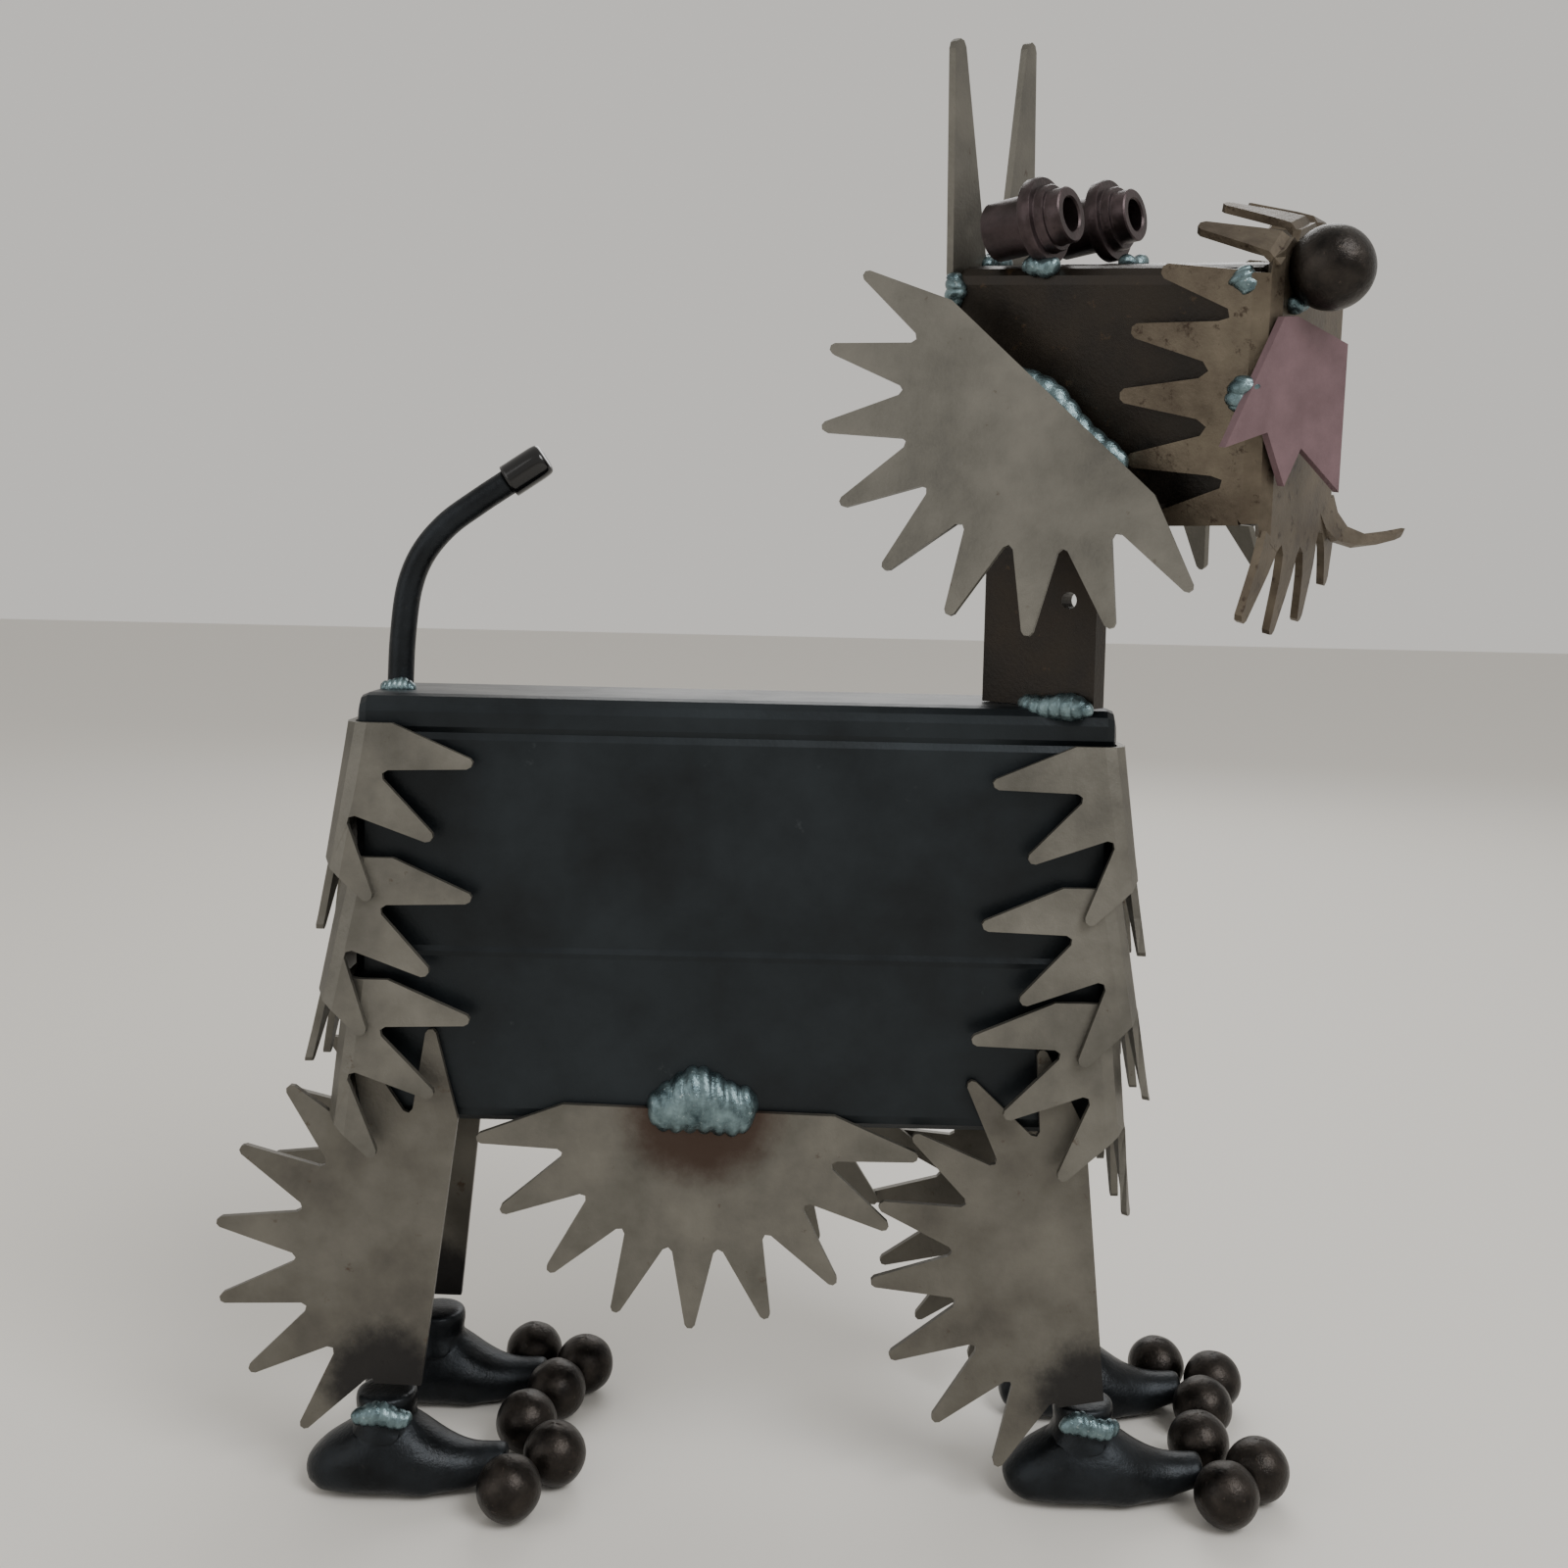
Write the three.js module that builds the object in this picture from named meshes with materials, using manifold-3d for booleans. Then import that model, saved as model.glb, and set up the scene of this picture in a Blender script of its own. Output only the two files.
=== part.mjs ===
// A welded steel dog: a rectangular box body and head, toothed saw-like half discs for the coat,
// forged clogs with ball toes for the feet. Millimetres, +Z up, the nose towards +X.
import * as THREE from 'three';
import { mergeVertices } from 'three/addons/utils/BufferGeometryUtils.js';
import Module from 'manifold-3d';

const wasm = await Module();
wasm.setup();

// ---- driving dimensions ----
const GAP = 0.3;                 // clearance between pieces that touch
const SHEET = 2.2;               // thickness of the toothed plate and of the ears

// toothed disc: 18 teeth, one every 20 degrees
const TIP_RADIUS = 66.2;
const GULLET_RADIUS = 42.3;
const CHORD_HALF = 40;           // half the straight cut edge of a half disc
const TIP_ROUND = 1.6;
const GULLET_ROUND = 1.5;
const TOOTH_STEP = 20;

// body box
const BODY = { back: -124.5, front: 97.5, bottom: 110.1, top: 237.1, halfWidth: 25.4, round: 5 };

// head box, turned towards -Y and tipped nose down
const HEAD = {
  x: 62.1, y: 7.6, z: 334.3, yaw: 35.9, pitch: 4.3, roll: 9.6, length: 95.6, halfWidth: 25.4, halfHeight: 34.4,
};

// neck, a flat bar
const NECK = { x: 76.5, y: -15, yaw: 37, width: 37, thick: 6.4, top: 288, holeRadius: 2.5, holeZ: 268.5 };

// feet, a forged clog with three ball toes
const FOOT = { length: 50, halfWidth: 13, stubTop: 30.4, stubRadius: 9.5 };
const TOE_RADIUS = 9.5;

const rad = THREE.MathUtils.degToRad;
const group = new THREE.Group();
const dog = new THREE.Group();
group.add(dog);

// ---- materials ----
const plateSteel = { color: 0x7d7a70, roughness: 0.55, metalness: 0.8 };
const millScale = { color: 0x2b2f33, roughness: 0.5, metalness: 0.7 };
const headScale = { color: 0x2a2520, roughness: 0.5, metalness: 0.7 };
const forgedIron = { color: 0x23262a, roughness: 0.45, metalness: 0.8 };
const ballSteel = { color: 0x3a3836, roughness: 0.45, metalness: 0.85 };
const bushingSteel = { color: 0x4a403e, roughness: 0.5, metalness: 0.8 };
const weldSteel = { color: 0x5c6a6c, roughness: 0.35, metalness: 0.9 };
const tongueSteel = { color: 0x8c6e70, roughness: 0.6, metalness: 0.4 };
const vinyl = { color: 0x0b0b0c, roughness: 0.2, metalness: 0 };

function add(parent, name, geometry, finish) {
  geometry.computeVertexNormals();
  const mesh = new THREE.Mesh(geometry, new THREE.MeshStandardMaterial(finish));
  mesh.name = name;
  parent.add(mesh);
  return mesh;
}

// ---- solids from triangles ----
function toGeometry(points, triangles) {
  const geometry = new THREE.BufferGeometry();
  geometry.setAttribute('position', new THREE.Float32BufferAttribute(points.flatMap((p) => [p.x, p.y, p.z]), 3));
  geometry.setIndex(triangles.flat());
  return geometry;
}

function signedVolume(points, triangles) {
  return triangles.reduce((sum, [a, b, c]) => {
    return sum + points[a].dot(new THREE.Vector3().crossVectors(points[b], points[c]));
  }, 0);
}

function solid(points, triangles) {
  const outward = signedVolume(points, triangles) > 0;
  return toGeometry(points, outward ? triangles : triangles.map(([a, b, c]) => [a, c, b]));
}

function toManifold(geometry) {
  const bare = geometry.clone();
  bare.deleteAttribute('normal');
  bare.deleteAttribute('uv');
  const merged = mergeVertices(bare, 1e-4);
  return new wasm.Manifold(new wasm.Mesh({
    numProp: 3,
    vertProperties: new Float32Array(merged.attributes.position.array),
    triVerts: new Uint32Array(merged.index.array),
  }));
}

function fromManifold(manifold) {
  const mesh = manifold.getMesh();
  const geometry = new THREE.BufferGeometry();
  geometry.setAttribute('position', new THREE.BufferAttribute(new Float32Array(mesh.vertProperties), 3));
  geometry.setIndex([...mesh.triVerts]);
  return geometry;
}

function cut(geometry, ...tools) {
  return fromManifold(tools.reduce((left, tool) => left.subtract(toManifold(tool)), toManifold(geometry)));
}

function join(...geometries) {
  return fromManifold(geometries.map(toManifold).reduce((all, next) => all.add(next)));
}

// Rings of equal point count, closed by a fan at each end.
function loft(rings) {
  const count = rings[0].length;
  const points = rings.flat();
  const triangles = [];
  for (let i = 0; i + 1 < rings.length; i += 1) {
    for (let j = 0; j < count; j += 1) {
      const a = i * count + j;
      const b = i * count + ((j + 1) % count);
      triangles.push([a, b, a + count], [b, b + count, a + count]);
    }
  }
  const centre = (ring) => ring.reduce((s, p) => s.add(p), new THREE.Vector3()).divideScalar(count);
  const first = points.push(centre(rings[0])) - 1;
  const last = points.push(centre(rings[rings.length - 1])) - 1;
  const offset = (rings.length - 1) * count;
  for (let j = 0; j < count; j += 1) {
    const k = (j + 1) % count;
    triangles.push([first, k, j], [last, offset + j, offset + k]);
  }
  return solid(points, triangles);
}

// ---- toothed plates ----
const polar = (radius, degrees) => new THREE.Vector2(radius * Math.cos(rad(degrees)), radius * Math.sin(rad(degrees)));

// One tooth's tip, or one gullet's floor, as a short arc about its own centre.
function arc(centreRadius, degrees, radius, turns) {
  const centre = polar(centreRadius, degrees);
  return turns.map((turn) => centre.clone().add(polar(radius, degrees + turn)));
}

// Half disc with its teeth along +X and its straight edge on x = 0, from tooth `first` to tooth `last`.
function halfDisc({ first = -4, last = 4, grow = 0 } = {}) {
  const outline = [new THREE.Vector2(-grow, -CHORD_HALF - grow)];
  for (let k = first; k <= last; k += 1) {
    const angle = k * TOOTH_STEP;
    outline.push(...arc(TIP_RADIUS - TIP_ROUND, angle, TIP_ROUND + grow, [-75, -25, 25, 75]));
    if (k < last || last < 4) {
      outline.push(...arc(GULLET_RADIUS + GULLET_ROUND, angle + TOOTH_STEP / 2, GULLET_ROUND - grow, [-110, 180, 110]));
    }
  }
  outline.push(new THREE.Vector2(-grow, CHORD_HALF + grow));
  return outline;
}

// Splits every triangle that crosses the line x = at, keeping shared edges shared.
function splitAt(flat, triangles, at) {
  const made = new Map();
  const side = (i) => (Math.abs(flat[i].x - at) < 1e-6 ? 0 : Math.sign(flat[i].x - at));
  const between = (a, b) => {
    const key = a < b ? `${a}_${b}` : `${b}_${a}`;
    if (!made.has(key)) {
      const t = (at - flat[a].x) / (flat[b].x - flat[a].x);
      made.set(key, flat.push(flat[a].clone().lerp(flat[b], t)) - 1);
    }
    return made.get(key);
  };
  return triangles.flatMap(([a, b, c]) => {
    const sides = [side(a), side(b), side(c)];
    if (!(sides.includes(1) && sides.includes(-1))) return [[a, b, c]];
    const loop = [a, b, c];
    const start = sides.includes(0) ? sides.indexOf(0) : sides.indexOf(sides.find((s) => s !== 0
      && sides.filter((other) => other === s).length === 1));
    const [p, q, r] = [0, 1, 2].map((i) => loop[(start + i) % 3]);
    if (sides.includes(0)) {
      const m = between(q, r);
      return [[p, q, m], [p, m, r]];
    }
    const m = between(p, q);
    const n = between(p, r);
    return [[p, m, n], [m, q, r], [m, r, n]];
  });
}

// A plate from a flat outline: `place(u, v, level)` puts a point of the sheet, level -1 or +1 for its faces.
function plate(outline, place, folds = []) {
  const flat = outline.map((p) => p.clone());
  let triangles = THREE.ShapeUtils.triangulateShape(flat, []);
  folds.forEach((at) => {
    triangles = splitAt(flat, triangles, at);
  });
  const count = flat.length;
  const points = [-1, 1].flatMap((level) => flat.map((p) => place(p.x, p.y, level)));
  const faces = triangles.flatMap(([a, b, c]) => [[a, c, b], [a + count, b + count, c + count]]);
  const uses = new Map();
  triangles.forEach(([a, b, c]) => [[a, b], [b, c], [c, a]].forEach(([p, q]) => uses.set(`${p}_${q}`, [p, q])));
  uses.forEach(([p, q]) => {
    if (!uses.has(`${q}_${p}`)) faces.push([p, q, q + count], [p, q + count, p + count]);
  });
  return solid(points, faces);
}

// A flat plate at a point: `along` and `across` are unit vectors of the outline's x and y.
function flatPlate(outline, centre, along, across, thick = SHEET) {
  const normal = new THREE.Vector3().crossVectors(along, across).normalize();
  return plate(outline, (u, v, level) => centre.clone()
    .addScaledVector(along, u)
    .addScaledVector(across, v)
    .addScaledVector(normal, (level * thick) / 2));
}

// ---- body box ----
// Cross-section of the box: rounded corners, a fold bead under the top edge and a shallow ridge halfway.
function bodySection(inset) {
  const half = BODY.halfWidth - inset;
  const middle = (BODY.top + BODY.bottom) / 2;
  const r = BODY.round;
  const corner = (top, side) => [0, 30, 60, 90].map((turn) => [
    side * (half - r + r * Math.cos(rad(turn))),
    (top ? 1 : -1) * ((BODY.top - BODY.bottom) / 2 - inset - r + r * Math.sin(rad(turn))) + middle,
  ]);
  const right = [[half - 0.9, BODY.top - 11], [half, BODY.top - 9.3]];
  const ridge = [[half, 160.2], [half + 0.5, 161.8], [half, 163.4]];
  const one = [...corner(false, 1).reverse(), ...ridge, [half, BODY.top - 13], ...right, ...corner(true, 1)];
  const other = one.map(([y, z]) => [-y, z]).reverse();
  return [...one, ...other];
}

function bodyBox() {
  const steps = [[0, 3], [0.9, 0.9], [3, 0]];
  const stations = [
    ...steps.map(([along, inset]) => [BODY.back + along, inset]),
    ...steps.map(([along, inset]) => [BODY.front - along, inset]).reverse(),
  ];
  return loft(stations.map(([x, inset]) => bodySection(inset).map(([y, z]) => new THREE.Vector3(x, y, z))));
}
add(dog, 'body_box', bodyBox(), millScale);

// ---- coat: half discs bent into a U round each end of the body ----
const WRAP = { bend: 6, flare: 0.1 };
const wrapTurn = (WRAP.bend * Math.PI) / 2;

// The U path of a wrap: how far out (+) from the body's end and how far to the side, with its normal.
function uPath(s, wrapFlat) {
  const a = Math.abs(s);
  const side = Math.sign(s) || 1;
  const turn = THREE.MathUtils.clamp((a - wrapFlat) / wrapTurn, 0, 1) * (Math.PI / 2);
  const past = Math.max(a - wrapFlat - wrapTurn, 0);
  return {
    out: -WRAP.bend * (1 - Math.cos(turn)) - past,
    side: side * (Math.min(a, wrapFlat) + WRAP.bend * Math.sin(turn)),
    normalOut: Math.cos(turn),
    normalSide: side * Math.sin(turn),
  };
}

function wrap({ end, outward, chordZ, half, lean, shift }) {
  const wrapFlat = half + SHEET / 2 - WRAP.bend;
  const folds = [0, 0.33, 0.67, 1].flatMap((t) => [wrapFlat + t * wrapTurn, -wrapFlat - t * wrapTurn]);
  const outline = halfDisc().map((p) => new THREE.Vector2(p.y - shift, p.x));
  return plate(outline, (s, drop, level) => {
    const p = uPath(s, wrapFlat);
    const offset = (level * SHEET) / 2;
    const out = p.out + p.normalOut * offset + drop * lean;
    const y = p.side + p.normalSide * (offset + drop * WRAP.flare);
    return new THREE.Vector3(end + outward * out, y, chordZ - drop);
  }, folds);
}

const endStandOff = GAP + SHEET / 2;
const wraps = [
  { name: 'chest_wrap_1', outward: 1, chordZ: 226.5, half: 28.2, lean: 0.13, shift: 1 },
  { name: 'chest_wrap_2', outward: 1, chordZ: 185.5, half: 29.7, lean: 0.165, shift: 5 },
  { name: 'chest_wrap_3', outward: 1, chordZ: 152, half: 30.4, lean: 0.09, shift: 7 },
  { name: 'rump_wrap_1', outward: -1, chordZ: 229, half: 28.2, lean: 0.15, shift: 0 },
  { name: 'rump_wrap_2', outward: -1, chordZ: 190, half: 29.5, lean: 0.19, shift: 2 },
  { name: 'rump_wrap_3', outward: -1, chordZ: 154.5, half: 30.4, lean: 0.1, shift: 1.8 },
];
wraps.forEach(({ name, outward, ...rest }) => {
  const end = outward > 0 ? BODY.front + endStandOff : BODY.back - endStandOff;
  add(dog, name, wrap({ end, outward, ...rest }), plateSteel);
});

// ---- legs and belly: half discs on the body's sides ----
// Unit vectors in a plane that leans out by `lean` degrees at its foot, on the side -1 (near) or +1.
function sidePlane(side, lean, degrees) {
  const across = new THREE.Vector3(0, -side * Math.sin(rad(lean)), Math.cos(rad(lean)));
  const x = new THREE.Vector3(1, 0, 0);
  const turned = (angle) => x.clone().multiplyScalar(Math.cos(rad(angle)))
    .addScaledVector(across, Math.sin(rad(angle)));
  return [turned(degrees), turned(degrees + 90)];
}

const plateY = BODY.halfWidth + GAP + SHEET / 2;
const LEG_TOP = 137;             // height at which a leaning leg plate meets the body
const legLean = (lean, z, off) => plateY + off + (LEG_TOP - z) * Math.tan(rad(lean));

const legs = [
  { name: 'leg_plate_rear_near', side: -1, x: -97.7, z: 72.9, turn: 173.2, lean: 2.6, off: 0 },
  { name: 'leg_plate_rear_far', side: 1, x: -98.5, z: 73, turn: 174.3, lean: 2.6, off: 0 },
  { name: 'leg_plate_front_near', side: -1, x: 95.3, z: 72.9, turn: 185.3, lean: 2.4, off: 0 },
  { name: 'leg_plate_front_far', side: 1, x: 97, z: 73.2, turn: 183, lean: 2.4, off: 1.6 },
];
legs.forEach(({ name, side, x, z, turn, lean, off }) => {
  const [along, across] = sidePlane(side, lean, turn);
  const centre = new THREE.Vector3(x, side * legLean(lean, z, off), z);
  add(dog, name, flatPlate(halfDisc({ last: 3 }), centre, along, across), plateSteel);
});

const bellies = [
  { name: 'belly_plate_near', side: -1, x: -22.3, z: 116.4, turn: 268.7 },
  { name: 'belly_plate_far', side: 1, x: -12, z: 116.8, turn: 274 },
];
function bellyPlate({ side, x, z, turn }, grow = 0) {
  const [along, across] = sidePlane(side, 0, turn);
  return flatPlate(halfDisc({ grow }), new THREE.Vector3(x, side * plateY, z), along, across, SHEET + 2 * grow);
}
bellies.forEach((belly) => add(dog, belly.name, bellyPlate(belly), plateSteel));

// ---- weld beads ----
// A lumpy bead: an ellipsoid with its long axis along `along`, cut back from what it is laid on.
function bead({ centre, along, half, lumps = 3, swell = 0.12 }) {
  const sphere = new THREE.SphereGeometry(1, 14, 8);
  const position = sphere.attributes.position;
  const out = new THREE.Matrix4().lookAt(new THREE.Vector3(), along, new THREE.Vector3(0, 0, 1));
  for (let i = 0; i < position.count; i += 1) {
    const v = new THREE.Vector3().fromBufferAttribute(position, i);
    const ripple = 1 + swell * Math.cos(v.z * Math.PI * lumps) * (1 - v.z * v.z);
    const square = 1 + 0.18 * (1 - Math.abs(v.z)) * Math.abs(v.z) * 4 * 0.5;
    v.set(v.x * half.x * ripple * square, v.y * half.y * ripple * square, v.z * half.z);
    v.applyMatrix4(out).add(centre);
    position.setXYZ(i, v.x, v.y, v.z);
  }
  return sphere;
}

function slab(x0, x1, y0, y1, z0, z1) {
  const box = new THREE.BoxGeometry(x1 - x0, y1 - y0, z1 - z0);
  box.translate((x0 + x1) / 2, (y0 + y1) / 2, (z0 + z1) / 2);
  return box;
}
const bodyRoom = slab(
  BODY.back - GAP, BODY.front + GAP,
  -BODY.halfWidth - GAP, BODY.halfWidth + GAP,
  BODY.bottom - 20, BODY.top + GAP,
);

bellies.forEach((belly) => {
  const weld = bead({
    centre: new THREE.Vector3(belly.x + 1, belly.side * (BODY.halfWidth + 1.5), belly.z + 1),
    along: new THREE.Vector3(1, 0, 0),
    half: new THREE.Vector3(5.4, 9.5, 18),
    lumps: 5,
  });
  add(dog, belly.name.replace('plate', 'weld'), cut(weld, bodyRoom, bellyPlate(belly, GAP)), weldSteel);
});

// ---- feet ----
// Half the width and the top and bottom of the clog at a distance from its heel.
const clog = [
  { at: 0, half: 3.5, top: 9, bottom: 5 },
  { at: 2.5, half: 7.5, top: 12.5, bottom: 2 },
  { at: 7, half: 10.5, top: 16.5, bottom: 0 },
  { at: 14, half: 12.6, top: 20.5, bottom: 0 },
  { at: 22, half: 13, top: 23, bottom: 0 },
  { at: 32, half: 12.6, top: 22.5, bottom: 0 },
  { at: 39, half: 11.4, top: 17.5, bottom: 0 },
  { at: 45, half: 9.2, top: 14.6, bottom: 0 },
  { at: 50, half: 7.2, top: 13.6, bottom: 1.8 },
  { at: 56, half: 6.4, top: 13.6, bottom: 4 },
  { at: 60, half: 6.2, top: 14, bottom: 5 },
];

// Section of the clog: upright sides from a flat sole, arched over the top.
function clogRing({ at, half, top, bottom }, x, y) {
  const waist = bottom + (top - bottom) * 0.42;
  const arch = [0, 26, 52, 76, 104, 128, 154, 180].map((turn) => [
    half * Math.cos(rad(turn)),
    waist + (top - waist) * Math.sin(rad(turn)),
  ]);
  const ring = [[-half * 0.86, bottom], [half * 0.86, bottom], ...arch];
  return ring.map(([across, z]) => new THREE.Vector3(x + at, y + across, z));
}

function foot({ x, y }) {
  const clogBody = loft(clog.map((section) => clogRing(section, x, y)));
  const stub = new THREE.LatheGeometry([
    new THREE.Vector2(0, 8),
    new THREE.Vector2(11.5, 8),
    new THREE.Vector2(10.6, 19),
    new THREE.Vector2(8.6, 23.5),
    new THREE.Vector2(9.4, 26.5),
    new THREE.Vector2(9.2, 29.4),
    new THREE.Vector2(8, FOOT.stubTop),
    new THREE.Vector2(0, FOOT.stubTop),
  ], 14);
  stub.rotateX(Math.PI / 2);
  stub.translate(x + 23.5, y, 0);
  return join(clogBody, stub);
}

const feet = [
  { name: 'rear_near', x: -137, y: -27.5, toes: [[62.8, -17.5], [73.3, 2.5], [62, 21.5]] },
  { name: 'rear_far', x: -133, y: 27.5, toes: [[64.5, -12.5], [71.6, 5.5], [53.5, 14.2]] },
  { name: 'front_near', x: 70.8, y: -24.5, toes: [[63.4, -15.4], [76.4, -0.8], [62.4, 14.6]] },
  { name: 'front_far', x: 76, y: 27.5, toes: [[64, -14.5], [71.6, 3.5], [55, 14]] },
];
feet.forEach(({ name, x, y, toes }) => {
  const ball = ([along, across], radius) => {
    const sphere = new THREE.SphereGeometry(radius, 12, 6);
    sphere.rotateX(Math.PI / 2);
    sphere.translate(x + along, y + across, TOE_RADIUS);
    return sphere;
  };
  const seats = toes.map((toe) => ball(toe, TOE_RADIUS + GAP));
  add(dog, `foot_${name}`, cut(foot({ x, y }), ...seats), forgedIron);
  toes.forEach((toe, i) => add(dog, `toe_ball_${name}_${i + 1}`, ball(toe, TOE_RADIUS), ballSteel));
});

// ---- neck ----
function neckBar() {
  const shape = new THREE.Shape();
  const half = NECK.width / 2;
  const low = BODY.top + GAP;
  shape.moveTo(-half, low);
  shape.lineTo(half, low);
  shape.lineTo(half, NECK.top);
  shape.lineTo(-half, NECK.top);
  shape.closePath();
  const hole = new THREE.Path();
  hole.absarc(9.5, NECK.holeZ, NECK.holeRadius, 0, Math.PI * 2, true);
  shape.holes.push(hole);
  const bar = new THREE.ExtrudeGeometry(shape, { depth: NECK.thick, bevelEnabled: false, curveSegments: 8 });
  bar.translate(0, 0, -NECK.thick / 2);
  bar.rotateX(Math.PI / 2);
  bar.rotateZ(-rad(NECK.yaw));
  bar.translate(NECK.x, NECK.y, 0);
  return bar;
}
add(dog, 'neck_bar', neckBar(), headScale);

// ---- head ----
const head = new THREE.Group();
head.rotation.order = 'ZYX';
head.rotation.set(rad(HEAD.roll), rad(HEAD.pitch), -rad(HEAD.yaw));
head.position.set(HEAD.x, HEAD.y, HEAD.z);
dog.add(head);

function headBox() {
  const ring = (x, inset) => {
    const y = HEAD.halfWidth - inset;
    const z = HEAD.halfHeight - inset;
    const r = 5;
    const corner = (sy, sz, from) => [0, 30, 60, 90].map((turn) => {
      const angle = rad(from + turn);
      return new THREE.Vector3(x, sy * (y - r) + r * Math.cos(angle), sz * (z - r) + r * Math.sin(angle));
    });
    return [...corner(1, 1, 0), ...corner(-1, 1, 90), ...corner(-1, -1, 180), ...corner(1, -1, 270)];
  };
  return loft([ring(0, 3), ring(0.9, 0.9), ring(3, 0), ring(HEAD.length - 3.5, 0), ring(HEAD.length, 3)]);
}
add(head, 'head_box', headBox(), headScale);

// Ears: tapered blades with a round tip, standing against the back of the head.
function ear(side, reach) {
  const foot = new THREE.Vector2(side * 13, HEAD.halfHeight - 16);
  const tip = new THREE.Vector2(side * 21, reach);
  const axis = tip.clone().sub(foot).normalize();
  const across = new THREE.Vector2(-axis.y, axis.x);
  const tipCentre = tip.clone().addScaledVector(axis, -3);
  const place = (base, u, v) => base.clone().addScaledVector(axis, u).addScaledVector(across, v);
  const outline = [
    place(foot, 0, 11.5),
    place(foot, 0, -11.5),
    ...[-80, -40, 0, 40, 80].map((turn) => place(tipCentre, 3 * Math.cos(rad(turn)), 3 * Math.sin(rad(turn)))),
  ];
  return plate(outline, (u, v, level) => new THREE.Vector3(-GAP - SHEET / 2 + (level * SHEET) / 2, u, v));
}
add(head, 'ear_near', ear(-1, 97.1), plateSteel);
add(head, 'ear_far', ear(1, 99.2), plateSteel);

// Eyes: flanged bushings lying on the head, tipped up on their flanges, their bores open to the front.
const EYE = { x: 26.8, rise: 12.3, tilt: 11, apart: 20.5 };
function eye(y) {
  const profile = [
    [4.7, -16], [8.4, -16], [8.4, -2], [12.1, -2], [12.1, 2], [9.4, 2], [9.4, 4.5], [7.8, 4.5], [7.8, 9],
    [4.7, 9], [4.7, -16],
  ].map(([r, h]) => new THREE.Vector2(r, h));
  const bushing = new THREE.LatheGeometry(profile, 16);
  bushing.rotateZ(-Math.PI / 2);
  bushing.rotateY(-rad(EYE.tilt));
  bushing.translate(EYE.x, y, HEAD.halfHeight + EYE.rise);
  return bushing;
}
add(head, 'eye_near', eye(-EYE.apart), bushingSteel);
add(head, 'eye_far', eye(EYE.apart), bushingSteel);

// Face disc: a whole toothed disc pressed over the muzzle. Its sides are folded back along the head, the
// top teeth are bent back over it and the lower teeth hang down as a beard.
const FACE = { front: HEAD.length + GAP + SHEET, half: HEAD.halfWidth + 3.8, bend: 5 };
const faceX = FACE.front - SHEET / 2;
const faceFlat = FACE.half - SHEET / 2 - FACE.bend;
const faceTurn = (FACE.bend * Math.PI) / 2;

// Fold of the face plate: distance from the middle to a place and a normal in the level plane.
function faceFold(u) {
  const a = Math.abs(u);
  const side = Math.sign(u) || 1;
  const turn = THREE.MathUtils.clamp((a - faceFlat) / faceTurn, 0, 1) * (Math.PI / 2);
  const past = Math.max(a - faceFlat - faceTurn, 0);
  return {
    x: faceX - FACE.bend * (1 - Math.cos(turn)) - past,
    y: side * (Math.min(a, faceFlat) + FACE.bend * Math.sin(turn) + past * 0.05),
    normal: new THREE.Vector3(Math.cos(turn), side * Math.sin(turn), 0),
  };
}

const facePoint = (u, v, level) => {
  const f = faceFold(u);
  return new THREE.Vector3(f.x, f.y, v).addScaledVector(f.normal, (level * SHEET) / 2);
};

function faceCore() {
  const outline = [];
  for (let k = 0; k < 18; k += 1) {
    const angle = k * TOOTH_STEP;
    outline.push(polar(GULLET_RADIUS + 2.6, angle - 6.6), polar(GULLET_RADIUS + 2.6, angle + 6.6));
    outline.push(polar(GULLET_RADIUS, angle + 10));
  }
  const folds = [0, 0.5, 1].flatMap((t) => [faceFlat + t * faceTurn, -faceFlat - t * faceTurn]);
  return plate(outline, facePoint, folds);
}

// A tooth as a tapered strip along a path: the direction starts at `from` and swings towards `to`.
function tooth({ root, from, to, normal, bendEnd = 0.5, length = TIP_RADIUS - GULLET_RADIUS }) {
  const across = new THREE.Vector3().crossVectors(from, normal).normalize();
  const rings = [];
  const steps = 5;
  const position = root.clone();
  let previous = 0;
  [0, 0.16, 0.34, 0.55, 0.78, 0.95, 1].forEach((s) => {
    const t = Math.min(s / bendEnd, 1);
    const direction = from.clone().multiplyScalar(1 - t).addScaledVector(to, t).normalize();
    position.addScaledVector(direction, (s - previous) * length);
    previous = s;
    const face = new THREE.Vector3().crossVectors(across, direction).normalize();
    const half = s < 0.96 ? 5.6 - 3.8 * s : 0.9;
    rings.push([[-1, -1], [1, -1], [1, 1], [-1, 1]].map(([a, b]) => position.clone()
      .addScaledVector(across, a * half)
      .addScaledVector(face, (b * SHEET) / 2)));
  });
  return loft(rings.slice(0, steps + 2));
}

// Direction in the face plate's own surface at u, turned by `degrees` from outward.
function surfaceDirection(u, side, degrees) {
  const { normal } = faceFold(u);
  const outward = new THREE.Vector3(-normal.y * side, normal.x * side, 0);
  return outward.multiplyScalar(Math.cos(rad(degrees))).add(new THREE.Vector3(0, 0, Math.sin(rad(degrees))));
}

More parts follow.
